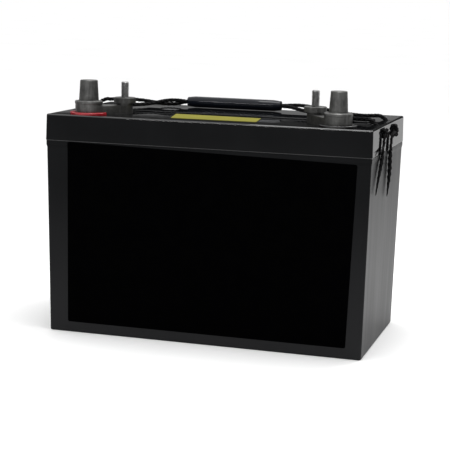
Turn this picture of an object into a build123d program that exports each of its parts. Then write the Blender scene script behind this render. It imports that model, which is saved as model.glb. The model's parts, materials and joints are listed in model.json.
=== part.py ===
from build123d import *
import math
import os

# Group 31 deep cycle AGM battery, millimetres.
# Origin: centre of the base on the surface it stands on. +X right, +Y back, +Z up.

# Overall
length = 330.0
width = 173.0
deck_z = 221.0
corner_radius = 2.0
overlap = 1.0

# Jar
base_inset = 3.8
wall_inset = 0.9
rim_inset = 0.3
rim_low_z = 188.0
rim_flare = 2.5
joint_z = 194.5
wall = 4.0
floor_thickness = 5.0
partition = 2.0
cell_pitch = 52.6
cell_count = 6
weld_z = 182.0
weld_radius = 6.0
base_fillet = 1.5

# Cover
cover_wall = 5.0
deck_thickness = 5.0
deck_fillet = 1.6
skirt_fillet = 0.8
skirt_flare = 0.5

# Vent strip and valves
vent_length = 294.0
vent_width = 36.0
vent_y = 6.0
vent_recess = 2.0
vent_proud = 1.2
vent_gap = 0.25
vent_corner = 5.75
vent_fillet = 0.9
cup_radius = 11.0
cup_bore = 9.0
cup_depth = 20.0
cup_floor = 3.0
nipple_radius = 4.5
nipple_height = 8.0
nipple_clearance = 0.5
gas_bore = 2.0
gas_bore_length = 24.0
valve_radius = 6.6
valve_lift = 1.5
valve_fillet = 1.0

# Plates
plate_half_width = 75.0
plate_low_z = 6.0
plate_top_z = 156.0
positive_thickness = 2.7
negative_thickness = 2.0
mat_thickness = 1.5
plate_pitch = positive_thickness + negative_thickness + 2 * mat_thickness
positives = 6
mat_margin = 2.0
lug_width = 12.0
strap_y = 64.0
strap_width = 18.0
strap_low_z = 170.0
strap_thickness = 6.0
strap_corner = 2.0
weld_block = 8.0
weld_margin = 1.0

# Terminals, heights above the deck
post_x = 127.0
post_y = -66.0
stud_x = 98.6
stud_y = -40.0
pedestal_radius = 13.5
collar_radius = 13.9
collar_low = 10.3
collar_top = 13.3
collar_step = 0.4
collar_bevel = 0.6
post_top = 33.8
post_bevel = 0.5
post_root = 0.5
positive_post_radius = 8.75
negative_post_radius = 7.95
post_taper = 1.0 / 18.0
pad_top = 8.4
foot_radius = 8.0
boss_radius = 11.1
boss_low = 10.8
boss_top = 16.1
boss_fillet = 0.8
stud_radius = 4.0
stud_neck_radius = 3.6
stud_top = 31.7
stud_bevel = 0.8
stud_head_low = 4.5
stud_head_top = 9.5
stud_head_radius = 6.5
shank_radius = 12.0
shank_depth = 16.0
pillar_radius = 6.5
pillar_top = 18.0
ring_gap = 0.2
ring_outer = 18.6
ring_height = 2.2
ring_fillet = 0.8
seal_radius = 15.0
seal_height = 5.0

# Labels
label_thickness = 0.3
front_label_corner = 2.0
top_label_corner = 1.5
front_label_outline = [(-141.3, 10.7), (145.6, 10.7), (151.1, 188.2), (-141.3, 194.2)]
top_label_outline = [(-50.0, -21.5), (40.0, -24.0), (45.5, -62.5), (-41.0, -65.0)]

# Rope handle
rope_radius = 2.1
rope_hole_radius = 3.2
rope_bore_length = 40.0
rope_hole_y = 27.0
rope_entry_x = 156.5
rope_drop = length / 2 - rope_entry_x
pocket_depth = 5.0
pocket_gap = 0.4
rope_boss_width = 17.0
rope_boss_length = 19.0
rope_boss_depth = 20.0
grip_radius = 5.8
grip_bore = 4.6
grip_fillet = 0.5
grip_x = (-65.0, 38.0)
grip_y = 63.0
grip_z = deck_z + grip_radius + 0.3
strand_offset = 2.15
strand_end_gap = 0.8
leg_start = 0.4
knot_radius = 4.6
knot_x = length / 2 - pocket_depth + knot_radius + 0.2
front_knot_y = -28.5
front_knot_drop = 6.7
front_knot_half_height = 4.7
back_knot_y = 27.0
back_knot_drop = 10.2
back_knot_half_height = 6.5
front_tail_radius = 1.4
back_tail_radius = 1.5

# Routes of the rope, (x, y, height above the deck)
grip_right = grip_x[1] + leg_start
grip_left = grip_x[0] - leg_start
strand_back_y = grip_y + strand_offset
strand_front_y = grip_y - strand_offset
right_back_route = [
    (grip_right, strand_back_y, 6.1), (44, 65.6, 6.6), (50.5, 63.8, 7.2), (58, 60, 7.9), (66.5, 54.5, 8.0),
    (78, 47.5, 7.6), (93.5, 40.5, 6.2), (108, 35, 4.6), (121, 31, 3.6), (134, 28, 3.2), (144, 27, 4.0),
    (151.5, 27, 4.4), (160, 27, -3.5), (164.6, 27, -8.1),
]
right_front_route = [
    (grip_right, strand_front_y, 6.1), (43.5, 59.5, 6.0), (49, 56, 6.2), (54.5, 51.5, 5.6), (60.5, 46.5, 4.9),
    (68.5, 39.5, 4.2), (79.5, 29.5, 4.0), (92.5, 17.5, 4.0), (105.5, 6, 4.0), (119, -5, 3.9),
    (131, -13.5, 3.9), (142, -21.5, 4.6), (151, -26.8, 4.9), (160, -27, -3.5), (164.6, -27, -8.1),
]
left_back_route = [
    (grip_left, strand_back_y, 6.1), (-70.5, 65.3, 4.9), (-76.5, 64, 3.4), (-83, 61.5, 2.8), (-89.5, 58, 2.9),
    (-95.5, 54.5, 3.8), (-101.5, 51.3, 5.0), (-108, 48.3, 6.1), (-116, 45, 7.0), (-128, 40, 7.4),
    (-140, 33.5, 7.2), (-149, 28, 7.8), (-160, 27, -3.5), (-166.8, 27, -10.3),
]
left_front_route = [
    (grip_left, strand_front_y, 6.1), (-71, 59.8, 6.9), (-77.5, 57, 7.5), (-83.8, 52.5, 7.4),
    (-89.2, 46.5, 6.5), (-94, 39, 5.2), (-98.5, 31, 4.4), (-103.5, 22, 4.2), (-109, 12, 4.3), (-116, 2, 4.4),
    (-124.5, -7, 4.6), (-134, -16, 5.0), (-143, -22.3, 5.2), (-151.5, -26.7, 4.6), (-160, -27, -3.5),
    (-166.8, -27, -10.3),
]
left_loop_route = [
    (-166.8, -27, -10.3), (-170.6, -27, -14.1), (-171.6, -22.6, -18.2), (-171.6, -14, -20.6),
    (-171.4, 0.5, -21.6), (-171.6, 14.5, -20.4), (-171.6, 22.8, -18.0), (-170.6, 27, -14.1),
    (-166.8, 27, -10.3),
]
front_tail_route = [
    (166.5, -32, -7.5), (166.6, -37.5, -9.2), (166.5, -40.6, -14.5), (166.5, -41.2, -21.5),
    (166.5, -42, -27.5), (166.4, -45.5, -33.5), (166.2, -50, -40.5), (166.0, -55.6, -48),
    (165.8, -60.4, -55.3), (165.6, -64.2, -62.5),
]
back_tail_route = [
    (166.7, 23.5, -11), (166.8, 17.2, -11.1), (166.7, 11, -11), (166.7, 6.3, -12.5), (166.7, 3.6, -16.5),
    (166.7, 3.2, -23), (166.6, 5.6, -32), (166.4, 6.6, -42), (166.2, 5.6, -52), (165.9, 2.5, -61),
    (165.7, -2.5, -71.5),
]

knots = {
    "rope_front_knot": (front_knot_y, front_knot_drop, front_knot_half_height),
    "rope_back_knot": (back_knot_y, back_knot_drop, back_knot_half_height),
}

os.makedirs("parts", exist_ok=True)


def save(piece, name):
    """Label a finished piece and write its STEP file."""
    piece.part.label = name
    export_step(piece.part, f"parts/{name}.step")


def cell_x(cell):
    """Centre of a cell along X, cell 0 at the left end."""
    return (cell - (cell_count - 1) / 2) * cell_pitch


def side_of(cell, positive):
    """The side, -1 front or +1 back, on which a cell's strap of one polarity runs."""
    front = (cell % 2 == 0) == positive
    return -1 if front else 1


def arc_radii(points):
    """Radius at each inner corner: 0.45 of the shorter run over the tangent of half the turn."""
    radii = []
    for before, corner, after in zip(points, points[1:], points[2:]):
        run_in = Vector(*corner) - Vector(*before)
        run_out = Vector(*after) - Vector(*corner)
        half_turn = math.radians(run_in.get_angle(run_out)) / 2
        radii.append(0.45 * min(run_in.length, run_out.length) / math.tan(half_turn))
    return radii


def report_rope(name, points, radii, radius, volume, path_length):
    """Print a rope stretch's arcs, and its volume beside its section times its length."""
    tight = ", ".join(f"{value:.0f}" for value in radii)
    ideal = math.pi * radius**2 * path_length
    print(f"{name}: {path_length:.1f} long, arcs {tight}, volume {volume:.0f} of {ideal:.0f}")


def raised(route):
    """A route with its heights counted from the base."""
    return [(x, y, deck_z + z) for x, y, z in route]


# Jar: drafted walls, a thicker rim, five partitions with a weld hole each
with BuildPart() as jar:
    with BuildSketch(Plane.XY):
        RectangleRounded(length - 2 * base_inset, width - 2 * base_inset, corner_radius)
    with BuildSketch(Plane.XY.offset(rim_low_z)):
        RectangleRounded(length - 2 * wall_inset, width - 2 * wall_inset, corner_radius)
    loft()
    fillet(jar.edges().group_by(Axis.Z)[0], base_fillet)
    with BuildSketch(Plane.XY.offset(rim_low_z)):
        RectangleRounded(length - 2 * wall_inset, width - 2 * wall_inset, corner_radius)
    with BuildSketch(Plane.XY.offset(rim_low_z + rim_flare)):
        RectangleRounded(length - 2 * rim_inset, width - 2 * rim_inset, corner_radius)
    loft()
    with BuildSketch(Plane.XY.offset(rim_low_z + rim_flare)):
        RectangleRounded(length - 2 * rim_inset, width - 2 * rim_inset, corner_radius)
    extrude(amount=joint_z - rim_low_z - rim_flare)
    with BuildSketch(Plane.XY.offset(floor_thickness)):
        inner = 2 * (base_inset + wall)
        RectangleRounded(length - inner, width - inner, corner_radius)
    with BuildSketch(Plane.XY.offset(joint_z)):
        inner = 2 * (wall_inset + wall)
        RectangleRounded(length - inner, width - inner, corner_radius)
    loft(mode=Mode.SUBTRACT)
    with BuildSketch(Plane.XY.offset(floor_thickness - overlap)):
        with GridLocations(cell_pitch, 0, cell_count - 1, 1):
            Rectangle(partition, width - 2 * base_inset - overlap)
    extrude(amount=joint_z - floor_thickness + overlap)
    for gap in range(cell_count - 1):
        wall_x = (cell_x(gap) + cell_x(gap + 1)) / 2
        hole_y = side_of(gap, False) * strap_y
        with BuildSketch(Plane.YZ.offset(wall_x - partition / 2)):
            with Locations((hole_y, weld_z)):
                Circle(weld_radius)
        extrude(amount=partition, mode=Mode.SUBTRACT)
save(jar, "jar")


# Cover: skirt, deck, ribs over the partitions, valve cups, rope bosses, and the knots' pockets at the right
seat_z = deck_z - cup_depth + cup_floor
with BuildPart() as cover:
    with BuildSketch(Plane.XY.offset(joint_z)):
        RectangleRounded(length, width, corner_radius)
    with BuildSketch(Plane.XY.offset(deck_z)):
        RectangleRounded(length - 2 * skirt_flare, width - 2 * skirt_flare, corner_radius)
    loft()
    fillet(cover.edges().group_by(Axis.Z)[-1], deck_fillet)
    fillet(cover.edges().group_by(Axis.Z)[0], skirt_fillet)
    with BuildSketch(Plane.XY.offset(joint_z)):
        RectangleRounded(length - 2 * cover_wall, width - 2 * cover_wall, corner_radius)
    extrude(amount=deck_z - deck_thickness - joint_z, mode=Mode.SUBTRACT)
    with BuildSketch(Plane.XY.offset(joint_z)):
        with GridLocations(cell_pitch, 0, cell_count - 1, 1):
            Rectangle(partition, width - 2 * cover_wall + overlap)
    extrude(amount=deck_z - deck_thickness - joint_z + overlap)
    with BuildSketch(Plane.XY.offset(deck_z - rope_boss_depth)):
        with GridLocations(length - rope_boss_length - overlap, 2 * rope_hole_y, 2, 2):
            Rectangle(rope_boss_length, rope_boss_width)
    extrude(amount=rope_boss_depth - overlap)
    with BuildSketch(Plane.XY.offset(deck_z - cup_depth)):
        with Locations(*[(cell_x(cell), vent_y) for cell in range(cell_count)]):
            Circle(cup_radius)
    extrude(amount=cup_depth - deck_thickness + overlap)
    with BuildSketch(Plane.XY.offset(deck_z - vent_recess)):
        with Locations((0, vent_y)):
            RectangleRounded(vent_length + 2 * vent_gap, vent_width + 2 * vent_gap, vent_corner + vent_gap)
    extrude(amount=vent_recess, mode=Mode.SUBTRACT)
    with BuildSketch(Plane.XY.offset(seat_z)):
        with Locations(*[(cell_x(cell), vent_y) for cell in range(cell_count)]):
            Circle(cup_bore)
            Circle(nipple_radius, mode=Mode.SUBTRACT)
    extrude(amount=cup_depth, mode=Mode.SUBTRACT)
    with BuildSketch(Plane.XY.offset(seat_z + nipple_height)):
        with Locations(*[(cell_x(cell), vent_y) for cell in range(cell_count)]):
            Circle(nipple_radius + nipple_clearance)
    extrude(amount=cup_depth, mode=Mode.SUBTRACT)
    with Locations(*[(cell_x(cell), vent_y, seat_z) for cell in range(cell_count)]):
        Cylinder(gas_bore, gas_bore_length, mode=Mode.SUBTRACT)
    with Locations(*[(side * post_x, post_y, deck_z - deck_thickness) for side in (-1, 1)]):
        Cylinder(shank_radius, 3 * deck_thickness, mode=Mode.SUBTRACT)
    for side in (-1, 1):
        for y in (-rope_hole_y, rope_hole_y):
            bore_middle = (side * (rope_entry_x + rope_drop / 2), y, deck_z - rope_drop / 2)
            with Locations(Plane(bore_middle, z_dir=(side, 0, -1))):
                Cylinder(rope_hole_radius, rope_bore_length, mode=Mode.SUBTRACT)
    for y, drop, half_height in knots.values():
        pocket_floor = (length / 2 - pocket_depth, y, deck_z - drop)
        with BuildSketch(Plane(pocket_floor, x_dir=(0, 1, 0), z_dir=(1, 0, 0))):
            Ellipse(knot_radius + pocket_gap, half_height + pocket_gap)
        extrude(amount=2 * pocket_depth, mode=Mode.SUBTRACT)
save(cover, "cover")


# Vent strip over the valves
with BuildPart() as vent_cover:
    with BuildSketch(Plane.XY.offset(deck_z - vent_recess)):
        with Locations((0, vent_y)):
            RectangleRounded(vent_length, vent_width, vent_corner)
    extrude(amount=vent_recess + vent_proud)
    fillet(vent_cover.edges().group_by(Axis.Z)[-1], vent_fillet)
save(vent_cover, "vent_cover")


# One rubber pressure valve cap on each cell's nipple
def make_valve(cell):
    with BuildPart() as valve:
        with BuildSketch(Plane.XY.offset(seat_z + valve_lift)):
            with Locations((cell_x(cell), vent_y)):
                Circle(valve_radius)
        extrude(amount=nipple_height + valve_lift)
        with BuildSketch(Plane.XY.offset(seat_z + valve_lift)):
            with Locations((cell_x(cell), vent_y)):
                Circle(nipple_radius)
        extrude(amount=nipple_height - valve_lift, mode=Mode.SUBTRACT)
        fillet(valve.edges().group_by(Axis.Z)[-1], valve_fillet)
    save(valve, f"valve_cap_{cell + 1}")


def plate_spots(cell, count):
    """Centres along X of a cell's plates of one polarity."""
    return [cell_x(cell) + (index - (count - 1) / 2) * plate_pitch for index in range(count)]


# A cell's plates of one polarity, each a slab with a lug
def make_plates(cell, positive):
    thickness = positive_thickness if positive else negative_thickness
    lug_y = side_of(cell, positive) * strap_y
    spots = plate_spots(cell, positives if positive else positives + 1)
    with BuildPart() as plates:
        with BuildSketch(Plane.XY.offset(plate_low_z)):
            with Locations(*[(x, 0) for x in spots]):
                Rectangle(thickness, 2 * plate_half_width)
        extrude(amount=plate_top_z - plate_low_z)
        with BuildSketch(Plane.XY.offset(plate_top_z)):
            with Locations(*[(x, lug_y) for x in spots]):
                Rectangle(thickness, lug_width)
        extrude(amount=strap_low_z - plate_top_z)
    save(plates, f"{'positive' if positive else 'negative'}_plates_{cell + 1}")


# A cell's glass mats, one between each pair of plates
def make_mats(cell):
    beside = (positive_thickness + mat_thickness) / 2
    spots = [x + turn * beside for x in plate_spots(cell, positives) for turn in (-1, 1)]
    with BuildPart() as mats:
        with BuildSketch(Plane.XY.offset(floor_thickness)):
            with Locations(*[(x, 0) for x in spots]):
                Rectangle(mat_thickness, 2 * (plate_half_width + mat_margin))
        extrude(amount=plate_top_z + mat_margin - floor_thickness)
    save(mats, f"glass_mats_{cell + 1}")


# A cast strap that joins the lugs of one polarity, with its weld post or its terminal pillar
def make_strap(cell, positive):
    side = side_of(cell, positive)
    towards = -1 if positive else 1
    ends_here = cell == (0 if positive else cell_count - 1)
    pack = positives * plate_pitch + negative_thickness
    with BuildPart() as strap:
        with BuildSketch(Plane.XY.offset(strap_low_z)):
            with Locations((cell_x(cell), side * strap_y)):
                RectangleRounded(pack, strap_width, strap_corner)
        extrude(amount=strap_thickness)
        if ends_here:
            with BuildSketch(Plane.XY.offset(strap_low_z + strap_thickness)):
                with Locations((towards * post_x, post_y)):
                    Circle(pillar_radius)
            extrude(amount=deck_z + pillar_top - strap_low_z - strap_thickness)
        else:
            wall_face = cell_x(cell) + towards * (cell_pitch - partition) / 2
            with BuildSketch(Plane.XY.offset(strap_low_z)):
                with Locations((wall_face - towards * weld_block / 2, side * strap_y)):
                    Rectangle(weld_block, 2 * (weld_radius + weld_margin))
            extrude(amount=weld_z + weld_radius + weld_margin - strap_low_z)
            with BuildSketch(Plane((wall_face, side * strap_y, weld_z), z_dir=(towards, 0, 0))):
                Circle(weld_radius)
            extrude(amount=partition / 2)
    save(strap, f"{'positive' if positive else 'negative'}_strap_{cell + 1}")


for cell_number in range(cell_count):
    make_valve(cell_number)
    make_mats(cell_number)
    for is_positive in (True, False):
        make_plates(cell_number, is_positive)
        make_strap(cell_number, is_positive)


def stud_run(side):
    """From a post's axis to its stud's axis, on the deck."""
    return Vector(side * (stud_x - post_x), stud_y - post_y)


def pad_outline(side, margin):
    """Corners of the pad, tangent to the pedestal and to the boss's foot, with a margin all round."""
    run = stud_run(side)
    lean = math.degrees(math.asin((pedestal_radius - foot_radius) / run.length))
    heading = math.degrees(math.atan2(run.Y, run.X))
    left = Vector(1, 0).rotate(Axis.Z, heading + 90 - lean)
    right = Vector(1, 0).rotate(Axis.Z, heading - 90 + lean)
    near, far = pedestal_radius + margin, foot_radius + margin
    return left * near, run + left * far, run + right * far, right * near


# Cast lead terminal: shank, pedestal, collar and tapered post, with a pad out to the stud's boss
def make_terminal(side, name, top_radius):
    axis_x = side * post_x
    base_radius = top_radius + (post_top - collar_top) * post_taper
    run = stud_run(side)

    def level(height):
        return Plane((axis_x, post_y, deck_z + height))

    with BuildPart() as terminal:
        with BuildSketch(Plane((axis_x, post_y, deck_z), x_dir=(1, 0, 0), z_dir=(0, -1, 0))):
            with BuildLine():
                Polyline(
                    (0, -shank_depth), (shank_radius, -shank_depth), (shank_radius, 0), (pedestal_radius, 0),
                    (pedestal_radius, collar_low), (collar_radius, collar_low + collar_step),
                    (collar_radius, collar_top - collar_bevel), (collar_radius - collar_bevel, collar_top),
                    (base_radius + post_root, collar_top), (base_radius, collar_top + post_root),
                    (top_radius, post_top - post_bevel), (top_radius - post_bevel, post_top),
                    (0, post_top), close=True,
                )
            make_face()
        revolve(axis=Axis((axis_x, post_y, 0), (0, 0, 1)))
        with BuildSketch(level(0)):
            with BuildLine():
                Polyline(*pad_outline(side, 0), close=True)
            make_face()
        extrude(amount=pad_top)
        with BuildSketch(level(0)):
            with Locations(run):
                Circle(foot_radius)
        extrude(amount=boss_low)
        with BuildSketch(level(boss_low)):
            with Locations(run):
                Circle(boss_radius)
        extrude(amount=boss_top - boss_low)
        rims = terminal.edges().filter_by(GeomType.CIRCLE)
        fillet(rims.filter_by(lambda e: abs(e.radius - boss_radius) < 0.01).sort_by(Axis.Z)[-1], boss_fillet)
        with BuildSketch(level(-shank_depth)):
            Circle(pillar_radius)
        extrude(amount=shank_depth + pillar_top, mode=Mode.SUBTRACT)
        with BuildSketch(level(stud_head_low)):
            with Locations(run):
                RegularPolygon(stud_head_radius, 6)
        extrude(amount=stud_head_top - stud_head_low, mode=Mode.SUBTRACT)
        with BuildSketch(level(stud_head_top)):
            with Locations(run):
                Circle(stud_neck_radius)
        extrude(amount=boss_top - stud_head_top, mode=Mode.SUBTRACT)
    save(terminal, f"{name}_terminal")


# M8 steel stud: a hex head and a neck cast into the boss, and the thread above it
def make_stud(side, name):
    def level(height):
        return Plane((side * stud_x, stud_y, deck_z + height))

    with BuildPart() as stud:
        with BuildSketch(level(stud_head_low)):
            RegularPolygon(stud_head_radius, 6)
        extrude(amount=stud_head_top - stud_head_low)
        with BuildSketch(level(stud_head_top)):
            Circle(stud_neck_radius)
        extrude(amount=boss_top - stud_head_top)
        with BuildSketch(level(boss_top)):
            Circle(stud_radius)
        extrude(amount=stud_top - boss_top)
        chamfer(stud.edges().group_by(Axis.Z)[-1], stud_bevel)
    save(stud, f"{name}_stud")


# Coloured polarity ring round the pedestal, open where the pad leaves it
def make_ring(side, name):
    with BuildPart() as ring:
        with BuildSketch(Plane((side * post_x, post_y, deck_z))):
            Circle(ring_outer)
        extrude(amount=ring_height)
        fillet(ring.edges().group_by(Axis.Z)[-1], ring_fillet)
        with BuildSketch(Plane((side * post_x, post_y, deck_z))):
            Circle(pedestal_radius + ring_gap)
            with BuildLine():
                Polyline(*pad_outline(side, ring_gap), close=True)
            make_face()
        extrude(amount=ring_height, mode=Mode.SUBTRACT)
    save(ring, f"{name}_polarity_ring")


# Rubber seal round the shank, under the deck
def make_seal(side, name):
    with BuildPart() as seal:
        with BuildSketch(Plane((side * post_x, post_y, deck_z - deck_thickness - seal_height))):
            Circle(seal_radius)
            Circle(shank_radius, mode=Mode.SUBTRACT)
        extrude(amount=seal_height)
    save(seal, f"{name}_seal")


post_radii = {"positive": positive_post_radius, "negative": negative_post_radius}
for post_side, polarity in ((-1, "positive"), (1, "negative")):
    make_terminal(post_side, polarity, post_radii[polarity])
    make_stud(post_side, polarity)
    make_ring(post_side, polarity)
    make_seal(post_side, polarity)


# Front label, laid over the jar's drafted face and its rim; its outline is given along X and Z
front_profile = [
    (base_inset - width / 2, 0), (wall_inset - width / 2, rim_low_z),
    (rim_inset - width / 2, rim_low_z + rim_flare), (rim_inset - width / 2, joint_z),
]
with BuildPart() as front_label:
    with BuildSketch(Plane.YZ.offset(-length / 2)):
        with BuildLine():
            Polyline(*front_profile, *[(y - label_thickness, z) for y, z in reversed(front_profile)], close=True)
        make_face()
    extrude(amount=length)
    with BuildSketch(Plane.XZ):
        with BuildLine():
            Polyline(*front_label_outline, close=True)
        corners = make_face()
        fillet(corners.vertices(), front_label_corner)
    extrude(amount=width, mode=Mode.INTERSECT)
save(front_label, "front_label")

with BuildPart() as top_label:
    with BuildSketch(Plane.XY.offset(deck_z)):
        with BuildLine():
            Polyline(*top_label_outline, close=True)
        corners = make_face()
        fillet(corners.vertices(), top_label_corner)
    extrude(amount=label_thickness)
save(top_label, "top_label")


# Rigid grip tube, free to turn on the two strands of rope inside it
grip_middle = ((grip_x[0] + grip_x[1]) / 2, grip_y, grip_z)
grip_length = grip_x[1] - grip_x[0]
with BuildPart() as grip:
    with Locations(Plane(grip_middle, z_dir=(1, 0, 0))):
        Cylinder(grip_radius, grip_length)
        Cylinder(grip_bore, grip_length + overlap, mode=Mode.SUBTRACT)
    rims = grip.edges().filter_by(GeomType.CIRCLE)
    fillet(rims.filter_by(lambda e: abs(e.radius - grip_radius) < 0.01), grip_fillet)
save(grip, "grip")

with BuildPart() as rope_in_grip:
    with Locations(Plane(grip_middle, x_dir=(0, 1, 0), z_dir=(1, 0, 0))):
        with Locations((-strand_offset, 0), (strand_offset, 0)):
            Cylinder(rope_radius, grip_length - 2 * strand_end_gap)
save(rope_in_grip, "rope_in_grip")


# A stretch of rope: straight runs joined by tangent arcs
def make_rope(name, route, radius):
    points = raised(route)
    radii = arc_radii(points)
    with BuildPart() as rope:
        with BuildLine() as path:
            FilletPolyline(*points, radius=radii)
        with BuildSketch(Plane(path.line @ 0, z_dir=path.line % 0)):
            Circle(radius)
        sweep()
    report_rope(name, points, radii, radius, rope.part.volume, path.wires()[0].length)
    save(rope, name)


make_rope("rope_right_back", right_back_route, rope_radius)
make_rope("rope_right_front", right_front_route, rope_radius)
make_rope("rope_left_back", left_back_route, rope_radius)
make_rope("rope_left_front", left_front_route, rope_radius)
make_rope("rope_left_loop", left_loop_route, rope_radius)
make_rope("rope_front_tail", front_tail_route, front_tail_radius)
make_rope("rope_back_tail", back_tail_route, back_tail_radius)


# Stopper knots outside the right end, each seated in its pocket
for knot_name, (knot_y, knot_drop, knot_half_height) in knots.items():
    knot_middle = (knot_x, knot_y, deck_z - knot_drop)
    with BuildPart() as knot:
        with BuildSketch(Plane(knot_middle, x_dir=(1, 0, 0), z_dir=(0, -1, 0))):
            Ellipse(knot_radius, knot_half_height)
            with Locations((-knot_radius, 0)):
                Rectangle(2 * knot_radius, 3 * knot_half_height, mode=Mode.SUBTRACT)
        revolve(axis=Axis(knot_middle, (0, 0, 1)))
    save(knot, knot_name)
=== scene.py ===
import json
import math
import random

import bpy
from mathutils import Matrix, Vector


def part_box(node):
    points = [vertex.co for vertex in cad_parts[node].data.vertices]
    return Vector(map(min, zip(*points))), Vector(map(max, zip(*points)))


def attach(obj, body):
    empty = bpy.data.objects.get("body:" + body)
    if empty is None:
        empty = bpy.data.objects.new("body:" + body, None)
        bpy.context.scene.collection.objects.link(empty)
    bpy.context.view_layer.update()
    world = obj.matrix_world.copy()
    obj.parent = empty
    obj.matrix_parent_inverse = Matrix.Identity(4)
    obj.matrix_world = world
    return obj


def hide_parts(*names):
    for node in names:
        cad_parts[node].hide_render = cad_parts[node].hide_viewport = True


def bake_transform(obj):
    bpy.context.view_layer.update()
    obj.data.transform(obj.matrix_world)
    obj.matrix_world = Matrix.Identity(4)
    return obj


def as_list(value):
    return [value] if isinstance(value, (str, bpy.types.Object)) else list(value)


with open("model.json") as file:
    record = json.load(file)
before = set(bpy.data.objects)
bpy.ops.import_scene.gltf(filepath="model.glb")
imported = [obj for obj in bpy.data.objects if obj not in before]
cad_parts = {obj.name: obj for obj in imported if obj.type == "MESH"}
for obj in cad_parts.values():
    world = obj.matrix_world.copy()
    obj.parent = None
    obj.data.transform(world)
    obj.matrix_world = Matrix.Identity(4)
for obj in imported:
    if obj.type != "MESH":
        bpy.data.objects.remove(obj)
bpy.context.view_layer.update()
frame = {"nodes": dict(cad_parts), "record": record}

# Lengths in this script are in millimetres, with heights from the deck, until MM turns them into metres
MM = 0.001


def corners(node):
    """A CAD node's lowest and highest corners, in millimetres, with heights from the floor."""
    return [[round(value / MM, 2) for value in corner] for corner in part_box(node)]


DECK = corners("cover")[1][2]


# ---------------------------------------------------------------- shader helpers
# The colour sockets of a Mix node, which share their names with its number sockets
MIX_A, MIX_B, MIX_RESULT = 6, 7, 2


class Shader:
    """A Principled material with procedural detail, in object coordinates."""

    def __init__(self, name, color, roughness, metallic=0.0, ior=1.5):
        self.material = bpy.data.materials.new(name)
        self.material.use_nodes = True
        self.tree = self.material.node_tree
        self.bsdf = self.tree.nodes["Principled BSDF"]
        self.bsdf.inputs["Base Color"].default_value = (*color, 1)
        self.bsdf.inputs["Roughness"].default_value = roughness
        self.bsdf.inputs["Metallic"].default_value = metallic
        self.bsdf.inputs["IOR"].default_value = ior
        self.coords = self.tree.nodes.new("ShaderNodeTexCoord")
        self.normal = None

    def node(self, kind, **values):
        made = self.tree.nodes.new(kind)
        for key, value in values.items():
            setattr(made, key, value)
        return made

    def link(self, source, target):
        self.tree.links.new(source, target)

    def space(self, scale=(1, 1, 1), source="Object", turn=(0, 0, 0)):
        mapping = self.node("ShaderNodeMapping")
        mapping.inputs["Scale"].default_value = scale
        mapping.inputs["Rotation"].default_value = turn
        self.link(self.coords.outputs[source], mapping.inputs["Vector"])
        return mapping.outputs["Vector"]

    def noise(self, scale, detail, stretch=(1, 1, 1), source="Object"):
        made = self.node("ShaderNodeTexNoise")
        made.inputs["Scale"].default_value = scale
        made.inputs["Detail"].default_value = detail
        made.inputs["Roughness"].default_value = 0.55
        self.link(self.space(stretch, source), made.inputs["Vector"])
        return made.outputs["Fac"]

    def cells(self, scale):
        made = self.node("ShaderNodeTexVoronoi")
        made.inputs["Scale"].default_value = scale
        self.link(self.space(), made.inputs["Vector"])
        return made.outputs["Distance"]

    def ramp(self, source, stops):
        made = self.node("ShaderNodeValToRGB")
        elements = made.color_ramp.elements
        while len(elements) < len(stops):
            elements.new(0.5)
        for element, (place, color) in zip(elements, stops):
            element.position = place
            element.color = (*color, 1)
        self.link(source, made.inputs["Fac"])
        return made.outputs["Color"]

    def span(self, source, low, high, start=0.3, end=0.7):
        """Low to high as the source goes from start to end."""
        made = self.node("ShaderNodeMapRange")
        made.inputs["From Min"].default_value = start
        made.inputs["From Max"].default_value = end
        made.inputs["To Min"].default_value = low
        made.inputs["To Max"].default_value = high
        self.link(source, made.inputs["Value"])
        return made.outputs["Result"]

    def mix(self, factor, first, second):
        made = self.node("ShaderNodeMix", data_type="RGBA")
        self.link(factor, made.inputs["Factor"])
        for socket, value in ((made.inputs[MIX_A], first), (made.inputs[MIX_B], second)):
            if isinstance(value, tuple):
                socket.default_value = (*value, 1)
            else:
                self.link(value, socket)
        return made.outputs[MIX_RESULT]

    def part(self, output, axis):
        """One axis of a texture coordinate."""
        made = self.node("ShaderNodeSeparateXYZ")
        self.link(self.coords.outputs[output], made.inputs["Vector"])
        return made.outputs[axis]

    def math(self, operation, *sources):
        made = self.node("ShaderNodeMath", operation=operation)
        for socket, source in zip(made.inputs, sources):
            self.link(source, socket)
        return made.outputs["Value"]

    def specular(self, level):
        self.bsdf.inputs["Specular IOR Level"].default_value = level

    def color(self, source):
        self.link(source, self.bsdf.inputs["Base Color"])

    def rough(self, source):
        self.link(source, self.bsdf.inputs["Roughness"])

    def bump(self, source, depth_mm):
        """Adds a bump on top of those already there."""
        made = self.node("ShaderNodeBump")
        made.inputs["Distance"].default_value = depth_mm * MM
        self.link(source, made.inputs["Height"])
        if self.normal is not None:
            self.link(self.normal, made.inputs["Normal"])
        self.normal = made.outputs["Normal"]
        self.link(self.normal, self.bsdf.inputs["Normal"])


# ---------------------------------------------------------------- materials
BLACK_PLASTIC = (0.0028, 0.003, 0.0034)
BLACK_PLASTIC_WORN = (0.0054, 0.0057, 0.0063)
# Pale tint for the bottom of the case: dust, and a painted reflection of the bright floor near the base
DUST_AND_FLOOR_SHEEN = (0.05, 0.05, 0.052)


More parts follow.
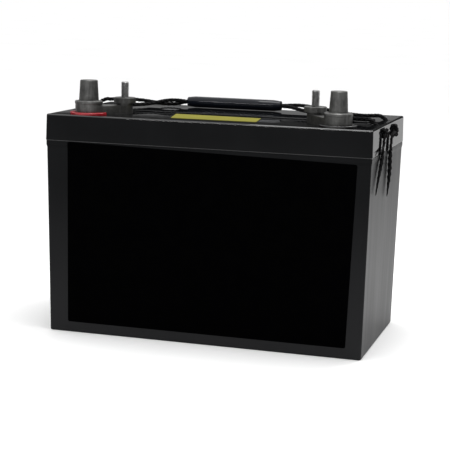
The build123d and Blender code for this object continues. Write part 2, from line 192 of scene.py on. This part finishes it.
def moulded_black(name, low, high, grain_mm, wave_mm, shine, edge_shine, low_dust_and_sheen=0.0):
    """Injection-moulded black plastic, low to high in roughness.

    It has a pale tint low down, partly dust and partly a painted reflection of the bright floor, drawn
    scuffs, a fine grain over long waves, and burnished edges.
    """
    s = Shader(name, BLACK_PLASTIC, (low + high) / 2)
    wear = s.noise(26, 6, (1, 1, 0.5))
    scuffs = s.noise(90, 3, (1, 1, 0.06))
    clean = s.mix(s.span(wear, 0.0, 0.6), BLACK_PLASTIC, BLACK_PLASTIC_WORN)
    # Lighter towards the bottom: dust, and a painted reflection of the bright floor near the base
    s.color(s.mix(s.span(s.part("Generated", "Z"), low_dust_and_sheen, 0.0, 0.0, 0.8), clean, DUST_AND_FLOOR_SHEEN))
    # An edge is a face turned partly up: neither a wall nor the deck
    tilt = s.math("ABSOLUTE", s.part("Normal", "Z"))
    off_wall = s.span(tilt, 0.0, 1.0, 0.1, 0.25)
    off_deck = s.span(tilt, 1.0, 0.0, 0.9, 0.98)
    edge = s.math("MULTIPLY", off_wall, off_deck)
    s.link(s.span(edge, shine, edge_shine, 0.0, 1.0), s.bsdf.inputs["Specular IOR Level"])
    s.rough(s.span(scuffs, low, high, 0.35, 0.7))
    s.bump(s.noise(900, 2), grain_mm)
    s.bump(s.noise(14, 2), wave_mm)
    return s.material


def cast_lead():
    """Cast lead: dull grey oxide in blotches, brighter handled metal, sand-like pits and drawn marks."""
    s = Shader("cast_lead", (0.14, 0.14, 0.14), 0.5, metallic=0.85)
    blotch = s.noise(120, 6)
    marks = s.noise(260, 3, (1, 1, 0.12))
    base = s.ramp(blotch, [
        (0.3, (0.046, 0.046, 0.0445)), (0.52, (0.076, 0.076, 0.0735)), (0.75, (0.128, 0.128, 0.124)),
    ])
    s.color(s.mix(s.span(marks, 0.0, 0.4, 0.5, 0.75), base, (0.2, 0.2, 0.2)))
    s.rough(s.span(blotch, 0.62, 0.38))
    s.bump(s.noise(420, 5), 0.16)
    s.bump(s.cells(700), 0.05)
    return s.material


def plated_steel():
    """Zinc-plated steel with dull stains."""
    s = Shader("plated_steel", (0.4, 0.4, 0.4), 0.35, metallic=1.0)
    stain = s.noise(300, 5)
    s.color(s.ramp(stain, [(0.3, (0.13, 0.13, 0.128)), (0.7, (0.24, 0.24, 0.24))]))
    s.rough(s.span(stain, 0.45, 0.28))
    s.bump(s.noise(1500, 3), 0.02)
    return s.material


def soft_rubber():
    """Black rubber with a pale bloom."""
    s = Shader("rubber", (0.02, 0.02, 0.02), 0.7, ior=1.45)
    bloom = s.noise(220, 5)
    s.color(s.ramp(bloom, [(0.3, (0.012, 0.012, 0.012)), (0.75, (0.035, 0.035, 0.034))]))
    s.rough(s.span(bloom, 0.6, 0.82))
    s.bump(s.noise(1400, 2), 0.03)
    return s.material


def ring_plastic(name, color, deep):
    """Glossy moulded plastic, a little uneven in colour."""
    s = Shader(name, color, 0.22)
    patch = s.noise(160, 4)
    s.color(s.ramp(patch, [(0.3, deep), (0.7, color)]))
    s.rough(s.span(patch, 0.17, 0.32))
    s.bump(s.noise(600, 2), 0.03)
    return s.material


def label_film(name, color, shade, low, high, shine):
    """Printed vinyl, low to high in roughness, with slight print mottle and lay-down ripples."""
    s = Shader(name, color, (low + high) / 2, ior=1.48)
    s.specular(shine)
    mottle = s.noise(60, 5)
    s.color(s.ramp(mottle, [(0.3, shade), (0.7, color)]))
    s.rough(s.span(s.noise(35, 3), low, high))
    s.bump(s.noise(18, 2), 0.03)
    s.bump(s.noise(1800, 2), 0.004)
    return s.material


def grip_plastic():
    """Glossy drawn tube: streaks and long waves along it."""
    s = Shader("grip_plastic", (0.006, 0.007, 0.01), 0.1)
    s.specular(0.22)
    streak = s.noise(25, 1, (0.08, 1, 1))
    s.color(s.ramp(streak, [(0.3, (0.004, 0.005, 0.008)), (0.7, (0.009, 0.011, 0.017))]))
    s.rough(s.span(streak, 0.05, 0.09))
    s.bump(s.noise(12, 1, (0.1, 1, 1)), 0.0015)
    return s.material


def rope_fibre():
    """Black filament yarn: fine filaments along each strand, almost without shine."""
    s = Shader("rope_fibre", (0.004, 0.004, 0.0045), 0.75)
    s.specular(0.07)
    along = s.noise(1.0, 4, (260, 46, 1), source="UV")
    s.color(s.ramp(along, [(0.3, (0.0016, 0.0016, 0.0018)), (0.72, (0.006, 0.006, 0.0066))]))
    s.rough(s.span(along, 0.6, 0.85))
    s.bump(along, 0.12)
    s.bsdf.inputs["Sheen Weight"].default_value = 0.02
    s.bsdf.inputs["Sheen Roughness"].default_value = 0.4
    return s.material


def pasted_plate(name, low, high, wire):
    """Active paste in a cast grid: mottled paste, with the grid's wires just showing."""
    s = Shader(name, high, 0.85)
    paste = s.ramp(s.noise(300, 6), [(0.3, low), (0.7, high)])
    grid = s.node("ShaderNodeTexBrick", offset=0.0, squash=1.0)
    grid.inputs["Scale"].default_value = 1.0
    grid.inputs["Mortar Size"].default_value = 0.0008
    grid.inputs["Brick Width"].default_value = 0.012
    grid.inputs["Row Height"].default_value = 0.006
    s.link(s.space(turn=(0, math.radians(90), math.radians(90))), grid.inputs["Vector"])
    s.color(s.mix(grid.outputs["Fac"], paste, wire))
    s.rough(s.span(s.noise(500, 3), 0.75, 0.95))
    s.bump(s.noise(700, 5), 0.15)
    return s.material


def felted_glass():
    """White glass-fibre felt."""
    s = Shader("felted_glass", (0.85, 0.85, 0.82), 0.9)
    fibre = s.noise(500, 6, (1, 0.2, 1))
    s.color(s.ramp(fibre, [(0.3, (0.7, 0.7, 0.67)), (0.7, (0.9, 0.9, 0.88))]))
    s.rough(s.span(fibre, 0.8, 0.95))
    s.bump(fibre, 0.2)
    return s.material


materials = {
    # The case's pale bottom is dust and a painted reflection of the bright floor
    "case_black": moulded_black("case_black", 0.34, 0.39, grain_mm=0.006, wave_mm=0.03, shine=0.065,
                                edge_shine=0.04, low_dust_and_sheen=0.24),
    "cover_black": moulded_black("cover_black", 0.02, 0.04, grain_mm=0.0003, wave_mm=0.003, shine=0.065,
                                 edge_shine=0.7),
    "vent_black": moulded_black("vent_black", 0.03, 0.06, grain_mm=0.0004, wave_mm=0.004, shine=0.07,
                                edge_shine=0.12),
    "rubber_black": soft_rubber(),
    "positive_paste": pasted_plate("positive_paste", low=(0.05, 0.02, 0.014), high=(0.11, 0.05, 0.035),
                                   wire=(0.16, 0.13, 0.12)),
    "negative_paste": pasted_plate("negative_paste", low=(0.16, 0.16, 0.17), high=(0.27, 0.27, 0.28),
                                   wire=(0.38, 0.38, 0.39)),
    "glass_mat": felted_glass(),
    "lead": cast_lead(),
    "stud_steel": plated_steel(),
    "ring_red": ring_plastic("ring_red", (0.34, 0.012, 0.02), (0.24, 0.007, 0.012)),
    "ring_black": ring_plastic("ring_black", (0.006, 0.006, 0.0065), (0.003, 0.003, 0.0035)),
    "label_black": label_film("label_black", color=(0.0005, 0.0005, 0.0006), shade=(0.0003, 0.0003, 0.0004),
                              low=0.6, high=0.7, shine=0.004),
    "label_yellow": label_film("label_yellow", color=(0.17, 0.158, 0.0125), shade=(0.146, 0.134, 0.0095),
                               low=0.45, high=0.6, shine=0.1),
    "grip_plastic": grip_plastic(),
    "rope_black": rope_fibre(),
}
slot_of = {row["node"]: row["material_slot"] for row in frame["record"]["subparts"]}
for node_name, node_object in frame["nodes"].items():
    node_object.data.materials.clear()
    node_object.data.materials.append(materials[slot_of[node_name]])


# ---------------------------------------------------------------- mesh helpers
def mesh_object(name, points, faces, slot, uvs):
    mesh = bpy.data.meshes.new(name)
    mesh.from_pydata([tuple(p) for p in points], [], faces)
    layer = mesh.uv_layers.new(name="UVMap")
    for loop in mesh.loops:
        layer.data[loop.index].uv = uvs[loop.vertex_index]
    mesh.polygons.foreach_set("use_smooth", [True] * len(mesh.polygons))
    mesh.materials.append(materials[slot])
    mesh.update()
    made = bpy.data.objects.new(name, mesh)
    bpy.context.scene.collection.objects.link(made)
    return made


def lathe(name, profile, origin, axis, slot, segments):
    """A closed (along, radius) profile turned about an axis through origin."""
    turn = Vector((0, 0, 1)).rotation_difference(Vector(axis)).to_matrix()
    points, faces, uvs = [], [], []
    count = len(profile)
    for step in range(segments):
        angle = 2 * math.pi * step / segments
        for index, (along, radius) in enumerate(profile):
            local = Vector((radius * math.cos(angle), radius * math.sin(angle), along))
            points.append(Vector(origin) + turn @ local)
            uvs.append((along, step / segments))
    for step in range(segments):
        after = (step + 1) % segments
        for index in range(count):
            following = (index + 1) % count
            faces.append((step * count + index, after * count + index,
                          after * count + following, step * count + following))
    return mesh_object(name, points, faces, slot, uvs)


# ---------------------------------------------------------------- rope
def metres(route):
    """The route's points in metres, with heights from the floor."""
    return [Vector((x, y, DECK + h)) * MM for x, y, h in route]


def smooth_line(points):
    """The vertices of the NURBS spline that has these control points."""
    curve = bpy.data.curves.new("route", "CURVE")
    curve.dimensions = "3D"
    curve.resolution_u = 16
    spline = curve.splines.new("NURBS")
    spline.points.add(len(points) - 1)
    for target, point in zip(spline.points, points):
        target.co = (*point, 1)
    spline.order_u = 3
    spline.use_endpoint_u = True
    holder = bpy.data.objects.new("route", curve)
    mesh = bpy.data.meshes.new_from_object(holder)
    line = [v.co.copy() for v in mesh.vertices]
    bpy.data.meshes.remove(mesh)
    bpy.data.objects.remove(holder)
    bpy.data.curves.remove(curve)
    return line


def even(line, step):
    """The line again with points about step apart, and each one's distance from the start."""
    along = [0.0]
    for a, b in zip(line, line[1:]):
        along.append(along[-1] + (b - a).length)
    count = max(2, math.ceil(along[-1] / step))
    points, places, at = [], [], 0
    for index in range(count + 1):
        place = along[-1] * index / count
        while at < len(line) - 2 and along[at + 1] < place:
            at += 1
        share = (place - along[at]) / max(along[at + 1] - along[at], 1e-12)
        points.append(line[at].lerp(line[at + 1], share))
        places.append(place)
    return points, places


def carried_frames(points):
    """A (side, up) pair at each point, carried along without twist."""
    ways = []
    for index in range(len(points)):
        a, b = points[max(index - 1, 0)], points[min(index + 1, len(points) - 1)]
        ways.append((b - a).normalized())
    side = ways[0].orthogonal().normalized()
    frames = []
    for index, way in enumerate(ways):
        if index:
            side = ways[index - 1].rotation_difference(way) @ side
        side = (side - way * side.dot(way)).normalized()
        frames.append((side, way.cross(side)))
    return frames


UV_SCALE = 10


def add_tube(mesh, centres, frames, places, radii, sides, start_v=0.0):
    """Adds a closed tube to mesh = (points, faces, uvs)."""
    points, faces, uvs = mesh
    first = len(points)
    for (side, up), centre, place, radius in zip(frames, centres, places, radii):
        for corner in range(sides):
            angle = 2 * math.pi * corner / sides
            points.append(centre + (side * math.cos(angle) + up * math.sin(angle)) * radius)
            uvs.append((place * UV_SCALE, start_v + corner / sides))
    for ring in range(len(centres) - 1):
        for corner in range(sides):
            following = (corner + 1) % sides
            a = first + ring * sides
            b = a + sides
            faces.append((a + corner, a + following, b + following, b + corner))
    faces.append(tuple(first + corner for corner in reversed(range(sides))))
    last = first + (len(centres) - 1) * sides
    faces.append(tuple(last + corner for corner in range(sides)))


# The braid: as many strands each way, and their sizes as shares of the cord's radius
CARRIERS = 3
STRAND = 0.37
STRAND_CENTRE = 0.52
WEAVE = 0.12
CORE = 0.55
SIDES = 7
STEP = 0.75 * MM
V_SHIFT = 0.37


def braid(mesh, line, radius, pitch=19 * MM, size_at=None, phase=0.0, own_sections=True):
    """Adds a diamond-braided cord that follows the line.

    Its strands turn both ways round a core, over and under each other.
    """
    centres, places = even(line, STEP)
    frames = carried_frames(centres)
    total = places[-1]
    sizes = [size_at(place / total) if size_at else 1.0 for place in places]
    for way in (1, -1):
        for carrier in range(CARRIERS):
            path = []
            for centre, (side, up), place, size in zip(centres, frames, places, sizes):
                turn = 2 * math.pi * place / pitch
                angle = way * turn + 2 * math.pi * carrier / CARRIERS + phase
                out = (STRAND_CENTRE * radius + way * WEAVE * radius * math.cos(CARRIERS * turn)) * size
                path.append(centre + (side * math.cos(angle) + up * math.sin(angle)) * out)
            radii = [STRAND * radius * size for size in sizes]
            sections = carried_frames(path) if own_sections else frames
            add_tube(mesh, path, sections, places, radii, SIDES, carrier * V_SHIFT)
    add_tube(mesh, centres, frames, places, [CORE * radius * size for size in sizes], SIDES)
    return centres


def cord_piece(name, route, radius, node, size_at=None, phase=0.0):
    mesh = ([], [], [])
    line = smooth_line(metres(route))
    centres = braid(mesh, line, radius * MM, size_at=size_at, phase=phase)
    made = mesh_object(name, *mesh[:2], "rope_black", mesh[2])
    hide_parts(node)
    return made, centres


def line_length(points):
    return sum((b - a).length for a, b in zip(points, points[1:]))


ROPE_R = 2.15
grip_low, grip_high = corners("grip")
GRIP_X = (grip_low[0], grip_high[0])
GRIP_MIDDLE_X = (GRIP_X[0] + GRIP_X[1]) / 2
GRIP_Y = (grip_low[1] + grip_high[1]) / 2
GRIP_R = (grip_high[1] - grip_low[1]) / 2
STRAND_Y = (GRIP_Y - ROPE_R, GRIP_Y + ROPE_R)
STRAND_H = grip_high[2] - GRIP_R - DECK

# Routes of the rope: each leg from the grip to its hole, the loop round the left end, and the tails
right_back_route = [
    (38.4, 65.15, 6.1), (44, 65.6, 6.6), (50.5, 63.8, 7.2), (58, 60, 7.9), (66.5, 54.5, 8.0),
    (78, 47.5, 7.6), (93.5, 40.5, 6.2), (108, 35, 4.6), (121, 31, 3.6), (134, 28, 3.2), (144, 27, 4.0),
    (151.5, 27, 4.4), (160, 27, -3.5), (164.6, 27, -8.1),
]
right_front_route = [
    (38.4, 60.85, 6.1), (43.5, 59.5, 6.0), (49, 56, 6.2), (54.5, 51.5, 5.6), (60.5, 46.5, 4.9),
    (68.5, 39.5, 4.2), (79.5, 29.5, 4.0), (92.5, 17.5, 4.0), (105.5, 6, 4.0), (119, -5, 3.9),
    (131, -13.5, 3.9), (142, -21.5, 4.6), (151, -26.8, 4.9), (160, -27, -3.5), (164.6, -27, -8.1),
]
left_back_route = [
    (-65.4, 65.15, 6.1), (-70.5, 65.3, 4.9), (-76.5, 64, 3.4), (-83, 61.5, 2.8), (-89.5, 58, 2.9),
    (-95.5, 54.5, 3.8), (-101.5, 51.3, 5.0), (-108, 48.3, 6.1), (-116, 45, 7.0), (-128, 40, 7.4),
    (-140, 33.5, 7.2), (-149, 28, 7.8), (-160, 27, -3.5), (-166.8, 27, -10.3),
]
left_front_route = [
    (-65.4, 60.85, 6.1), (-71, 59.8, 6.9), (-77.5, 57, 7.5), (-83.8, 52.5, 7.4),
    (-89.2, 46.5, 6.5), (-94, 39, 5.2), (-98.5, 31, 4.4), (-103.5, 22, 4.2), (-109, 12, 4.3), (-116, 2, 4.4),
    (-124.5, -7, 4.6), (-134, -16, 5.0), (-143, -22.3, 5.2), (-151.5, -26.7, 4.6), (-160, -27, -3.5),
    (-166.8, -27, -10.3),
]
left_loop_route = [
    (-166.8, -27, -10.3), (-170.6, -27, -14.1), (-171.6, -22.6, -18.2), (-171.6, -14, -20.6),
    (-171.4, 0.5, -21.6), (-171.6, 14.5, -20.4), (-171.6, 22.8, -18.0), (-170.6, 27, -14.1),
    (-166.8, 27, -10.3),
]
front_tail_route = [
    (166.5, -32, -7.5), (166.6, -35.5, -9.2), (166.5, -37.2, -14.5), (166.5, -40.2, -21.5),
    (166.5, -41.5, -27.5), (166.4, -45.5, -33.5), (166.2, -50, -40.5), (166.0, -55.6, -48),
    (165.8, -60.4, -55.3), (165.6, -64.2, -62.5),
]
back_tail_route = [
    (166.7, 23.5, -11), (166.8, 17.2, -11.1), (166.7, 11, -11), (166.7, 6.3, -12.5), (166.7, 3.6, -16.5),
    (166.7, 1.2, -23), (166.5, 0.5, -32), (166.4, 1.8, -42), (166.2, 2.2, -52), (165.9, 1.0, -61),
    (165.7, -2.5, -71.5),
]

# Stopper knots: overhand knots pulled tight outside the right end, which thins the cord
KNOT_X = 165.4
KNOT_CORD_R = 1.9
KNOT_PITCHES = 5
KNOT_STEPS = 240
LOBES = 3


def knot_piece(name, y, height, half_width, half_height, node, turn):
    """A trefoil of cord: three lobes, over and under, drawn out to the height of the knot."""
    middle = Vector((KNOT_X, y, DECK + height)) * MM
    # The trefoil's own reach is 3
    wide, tall = (half_width - KNOT_CORD_R) / 3, (half_height - KNOT_CORD_R) / 3
    loop = []
    for index in range(KNOT_STEPS + 1):
        t = 2 * math.pi * index / KNOT_STEPS
        around = 2 * t + turn
        reach = 2 + math.cos(LOBES * t)
        out = math.sin(LOBES * t) * KNOT_CORD_R
        across, along = reach * math.cos(around) * wide, reach * math.sin(around) * tall
        loop.append(middle + Vector((out, across, along)) * MM)
    mesh = ([], [], [])
    braid(mesh, loop, KNOT_CORD_R * MM, pitch=line_length(loop) / KNOT_PITCHES, own_sections=False)
    made = mesh_object(name, *mesh[:2], "rope_black", mesh[2])
    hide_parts(node)
    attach(made, "battery")
    return made


front_knot = knot_piece("front_stopper_knot", -28.8, -7.0, 6.2, 5.8, "rope_front_knot", 0.3)
back_knot = knot_piece("back_stopper_knot", 28.8, -10.4, 6.4, 7.4, "rope_back_knot", 1.4)


def leg(name, route, node, phase):
    """A leg of the rope, which stretches between its hole and the handle."""
    made, line = cord_piece(name, route, ROPE_R, node, phase=phase)
    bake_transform(made)
    return made


leg("rope_right_back_braid", right_back_route, "rope_right_back", 0.2)
leg("rope_right_front_braid", right_front_route, "rope_right_front", 1.1)
leg("rope_left_back_braid", left_back_route, "rope_left_back", 0.6)
leg("rope_left_front_braid", left_front_route, "rope_left_front", 1.9)

loop_piece, loop_line = cord_piece("rope_left_loop_braid", left_loop_route, ROPE_R, "rope_left_loop",
                                   phase=0.4)
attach(loop_piece, "battery")


FILAMENT_SHARES = (0, 0.25, 0.5, 0.75, 1.0)
FILAMENT_RADII = (0.2, 0.18, 0.15, 0.12, 0.06)


def fray(name, place, way, count, length, spread, seed, thickness=1.0):
    """A tuft of loose filaments, kept flat along the case's end."""
    chance = random.Random(seed)
    mesh = ([], [], [])
    way = Vector(way).normalized()

    def stray(sideways):
        return Vector((sideways * chance.uniform(-1, 1), chance.uniform(-1, 1), chance.uniform(-1, 1)))

    for _ in range(count):
        push = stray(0.3) * spread
        start = place + stray(1) * 0.4 * MM
        reach = length * chance.uniform(0.5, 1.0)
        bend = stray(0.1) * 0.12 * reach
        heading = (way + push).normalized()
        points = [start + heading * reach * t + bend * t * t for t in FILAMENT_SHARES]
        places = [reach * t for t in FILAMENT_SHARES]
        radii = [radius * thickness * MM for radius in FILAMENT_RADII]
        add_tube(mesh, points, carried_frames(points), places, radii, 5)
    made = mesh_object(name, *mesh[:2], "rope_black", mesh[2])
    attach(made, "battery")
    return made


def tail(name, route, node, size_at, tufts, radius):
    """A free end of the rope, with the tufts that stand off it."""
    made, line = cord_piece(name, route, radius, node, size_at=size_at)
    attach(made, "battery")
    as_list(tufts(line))


FRONT_TAIL_R, BACK_TAIL_R = 1.45, 1.55
TIP_LOSS = 0.72
TIP_CURVE = 1.3


def opened(share, start, full, tip, width):
    """Size along a tail: the braid opens out between start and full, and is drawn to a point after tip."""
    grown = 1 + (width - 1) * min(1.0, max(0.0, (share - start) / (full - start)))
    return grown * (1 - TIP_LOSS * max(0.0, (share - tip) / (1 - tip)) ** TIP_CURVE)


def front_size(share):
    return opened(share, start=0.28, full=0.42, tip=0.5, width=1.4)


def back_size(share):
    return opened(share, start=0.36, full=0.5, tip=0.66, width=1.5)


KINK_H = -19
TIP_FRAY = 3.5 * MM


def front_tufts(line):
    kink = min(line, key=lambda p: abs(p.z - (DECK + KINK_H) * MM))
    forwards, backwards = (0.01, -0.95, -0.26), (0.03, 0.9, 0.3)
    return [fray("front_tail_kink_fray", kink, forwards, 9, 27 * MM, 0.09, seed=3, thickness=1.9),
            fray("front_tail_back_fray", kink, backwards, 6, 11 * MM, 0.07, seed=4, thickness=1.6),
            fray("front_tail_tip_fray", line[-3], line[-1] - line[-4], 6, TIP_FRAY, 0.12, seed=5)]


def back_tufts(line):
    return [fray("back_tail_tip_fray", line[-3], line[-1] - line[-4], 6, TIP_FRAY, 0.1, seed=9)]


tail("rope_front_tail_braid", front_tail_route, "rope_front_tail", front_size, front_tufts, FRONT_TAIL_R)
tail("rope_back_tail_braid", back_tail_route, "rope_back_tail", back_size, back_tufts, BACK_TAIL_R)

# The two strands inside the grip, squeezed a little
GRIP_ROPE_R = 2.08
GRIP_ROPE_STEPS = 60
GRIP_ROPE_OUT = 0.3
inside = ([], [], [])
for index, y in enumerate(STRAND_Y):
    ends = (GRIP_X[0] - GRIP_ROPE_OUT, GRIP_X[1] + GRIP_ROPE_OUT)
    first, last = (Vector((x, y, DECK + STRAND_H)) * MM for x in ends)
    line = [first.lerp(last, step / GRIP_ROPE_STEPS) for step in range(GRIP_ROPE_STEPS + 1)]
    braid(inside, line, GRIP_ROPE_R * MM, phase=0.5 * index)
grip_rope = mesh_object("rope_in_grip_braid", *inside[:2], "rope_black", inside[2])
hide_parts("rope_in_grip")
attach(grip_rope, "handle")

# Grip tube: drawn in a little at each rolled end
GRIP_BORE_R = 4.6
# Distance back from the end, and radius, from the straight wall round to the bore
ROLLED_END = [
    (9, GRIP_R), (7.2, 5.7), (5.4, 5.5), (3.6, 5.27), (1.9, 5.06), (0.7, 4.92), (0, 4.78), (0.1, 4.66),
    (0.9, GRIP_BORE_R),
]
half_grip = (GRIP_X[1] - GRIP_X[0]) / 2
rolled = [(half_grip - back, radius) for back, radius in ROLLED_END]
right_half = [(0, GRIP_R), *rolled, (0, GRIP_BORE_R)]
left_half = [(-along, radius) for along, radius in reversed(right_half)]
grip_profile = [(along * MM, radius * MM) for along, radius in right_half + left_half[1:-1]]
grip_middle = Vector((GRIP_MIDDLE_X, GRIP_Y, DECK + STRAND_H)) * MM
grip = lathe("grip_tube", grip_profile, grip_middle, (1, 0, 0), "grip_plastic", 72)
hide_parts("grip")
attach(grip, "grip")


# ---------------------------------------------------------------- studs
STUD_R = 4.0
STUD_CHAMFER = 0.9
THREAD_LOW = 15.6
THREAD_PITCH = 1.25
THREAD_DEPTH = 0.68
THREAD_FLAT = 0.12
ROWS_TO_A_PITCH = 10
THREAD_SIDES = 40
HEAD_TOP = 9.5
NECK_LOW, NECK_TOP, NECK_R, NECK_SIDES = 9.0, 15.9, 3.3, 24


def stud_piece(name):
    """A threaded stud with the neck and the hexagonal head that are cast into the boss."""
    low, high = corners(f"{name}_stud")
    x, y = (low[0] + high[0]) / 2, (low[1] + high[1]) / 2
    head_low, thread_top = low[2] - DECK, high[2] - DECK
    head_radius = (high[0] - low[0]) / 2
    points, faces, uvs = [], [], []

    def add_point(radius, angle, height, across):
        place = (x + radius * math.cos(angle), y + radius * math.sin(angle), DECK + height)
        points.append(Vector(place) * MM)
        uvs.append((across, height * MM))

    rows = int((thread_top - THREAD_LOW) / THREAD_PITCH * ROWS_TO_A_PITCH)
    for row in range(rows + 1):
        height = THREAD_LOW + (thread_top - THREAD_LOW) * row / rows
        for column in range(THREAD_SIDES):
            share = column / THREAD_SIDES
            crest = abs(2 * ((height / THREAD_PITCH - share) % 1.0) - 1)
            crest = min(max((crest - THREAD_FLAT) / (1 - 2 * THREAD_FLAT), 0.0), 1.0)
            radius = min(STUD_R - THREAD_DEPTH * (1 - crest), STUD_R - STUD_CHAMFER + (thread_top - height))
            add_point(radius, 2 * math.pi * share, height, share)
    for row in range(rows):
        for column in range(THREAD_SIDES):
            following = (column + 1) % THREAD_SIDES
            a, b = row * THREAD_SIDES, (row + 1) * THREAD_SIDES
            faces.append((a + column, a + following, b + following, b + column))
    faces.append(tuple(reversed(range(THREAD_SIDES))))
    faces.append(tuple(rows * THREAD_SIDES + column for column in range(THREAD_SIDES)))
    first = len(points)
    for height in (head_low, HEAD_TOP):
        for corner in range(6):
            add_point(head_radius, math.pi / 3 * corner, height, corner / 6)
    for corner in range(6):
        following = (corner + 1) % 6
        faces.append((first + corner, first + following, first + 6 + following, first + 6 + corner))
    faces.append(tuple(first + corner for corner in reversed(range(6))))
    faces.append(tuple(first + 6 + corner for corner in range(6)))
    neck = [Vector((x, y, DECK + height)) * MM for height in (NECK_LOW, NECK_TOP)]
    add_tube((points, faces, uvs), neck, carried_frames(neck), [0, 1], [NECK_R * MM] * 2, NECK_SIDES)
    made = mesh_object(f"{name}_stud_threaded", points, faces, "stud_steel", uvs)
    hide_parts(f"{name}_stud")
    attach(made, "battery")


for polarity in ("positive", "negative"):
    stud_piece(polarity)


# ---------------------------------------------------------------- stage
# Metres from here on
FLOOR_REACH = 150.0
FLOOR_DROP = 0.0002


def floor_material():
    s = Shader("pale_floor", (0.86, 0.86, 0.86), 0.6)
    s.specular(0.2)
    s.color(s.ramp(s.noise(3, 3), [(0.3, (0.84, 0.84, 0.84)), (0.7, (0.88, 0.88, 0.88))]))
    return s.material


floor_mesh = bpy.data.meshes.new("floor")
floor_corners = [(x * FLOOR_REACH, y * FLOOR_REACH, 0) for x, y in ((-1, -1), (1, -1), (1, 1), (-1, 1))]
floor_mesh.from_pydata(floor_corners, [], [(0, 1, 2, 3)])
floor = bpy.data.objects.new("floor", floor_mesh)
floor.location = (0, 0, -FLOOR_DROP)
floor_mesh.materials.append(floor_material())
bpy.context.scene.collection.objects.link(floor)

# A bright ceiling over a dim room, one fading into the other with the direction's height
WALLS, CEILING = 0.03, 1.46
FADE_LOW, FADE_HIGH = 0.16, 0.62
world = bpy.data.worlds.new("studio")
bpy.context.scene.world = world
world.use_nodes = True
sky = world.node_tree
background = sky.nodes["Background"]
background.inputs["Color"].default_value = (1, 1, 1, 1)
sky_coords = sky.nodes.new("ShaderNodeTexCoord")
split = sky.nodes.new("ShaderNodeSeparateXYZ")
fade = sky.nodes.new("ShaderNodeMapRange")
fade.interpolation_type = "SMOOTHSTEP"
fade.inputs["From Min"].default_value = FADE_LOW
fade.inputs["From Max"].default_value = FADE_HIGH
fade.inputs["To Min"].default_value = WALLS
fade.inputs["To Max"].default_value = CEILING
sky.links.new(sky_coords.outputs["Generated"], split.inputs["Vector"])
sky.links.new(split.outputs["Z"], fade.inputs["Value"])
sky.links.new(fade.outputs["Result"], background.inputs["Strength"])


def area_light(name, place, target, size, energy):
    data = bpy.data.lights.new(name, "AREA")
    data.shape = "RECTANGLE"
    data.size, data.size_y = size
    data.energy = energy
    light = bpy.data.objects.new(name, data)
    light.location = place
    light.rotation_mode = "QUATERNION"
    light.rotation_quaternion = (Vector(target) - Vector(place)).to_track_quat("-Z", "Y")
    bpy.context.scene.collection.objects.link(light)


area_light("overhead", place=(0.05, -0.05, 1.1), target=(0.05, 0.0, 0), size=(0.5, 0.4), energy=5)
area_light("right_pool", place=(0.4, 0.45, 0.95), target=(0.28, 0.35, 0), size=(0.3, 0.3), energy=3)
area_light("front_strip", place=(-0.6, -2.5, 1.03), target=(0, 0, 0.2), size=(0.85, 0.06), energy=8)
# Low behind the battery, for the band along the glossy deck
area_light("back_strip", place=(-0.65, 2.5, 0.449), target=(-0.1, 0.0, 0.24), size=(1.9, 0.03), energy=0.045)

scene = bpy.context.scene
scene.view_settings.view_transform = "Standard"
scene.view_settings.look = "None"


# ---------------------------------------------------------------- camera
YAW, PITCH, ROLL = -0.28996, 0.17203, 0.023858
CAMERA_PLACE = (0.39176, -1.31945, 0.34598)
SENSOR_MM = 36
FOCAL_SHARE = 3.0030667  # focal length over the sensor's width
forward = Vector((math.sin(YAW) * math.cos(PITCH), math.cos(YAW) * math.cos(PITCH), -math.sin(PITCH)))
level = Vector((math.cos(YAW), -math.sin(YAW), 0))
upward = level.cross(forward)
across = level * math.cos(ROLL) + upward * math.sin(ROLL)
above = -level * math.sin(ROLL) + upward * math.cos(ROLL)
camera_data = bpy.data.cameras.new("camera")
camera_data.sensor_width = SENSOR_MM
camera_data.lens = FOCAL_SHARE * SENSOR_MM
camera = bpy.data.objects.new("camera", camera_data)
turn = Matrix((across, above, -forward)).transposed()
camera.matrix_world = Matrix.Translation(Vector(CAMERA_PLACE)) @ turn.to_4x4()
scene.collection.objects.link(camera)
scene.camera = camera
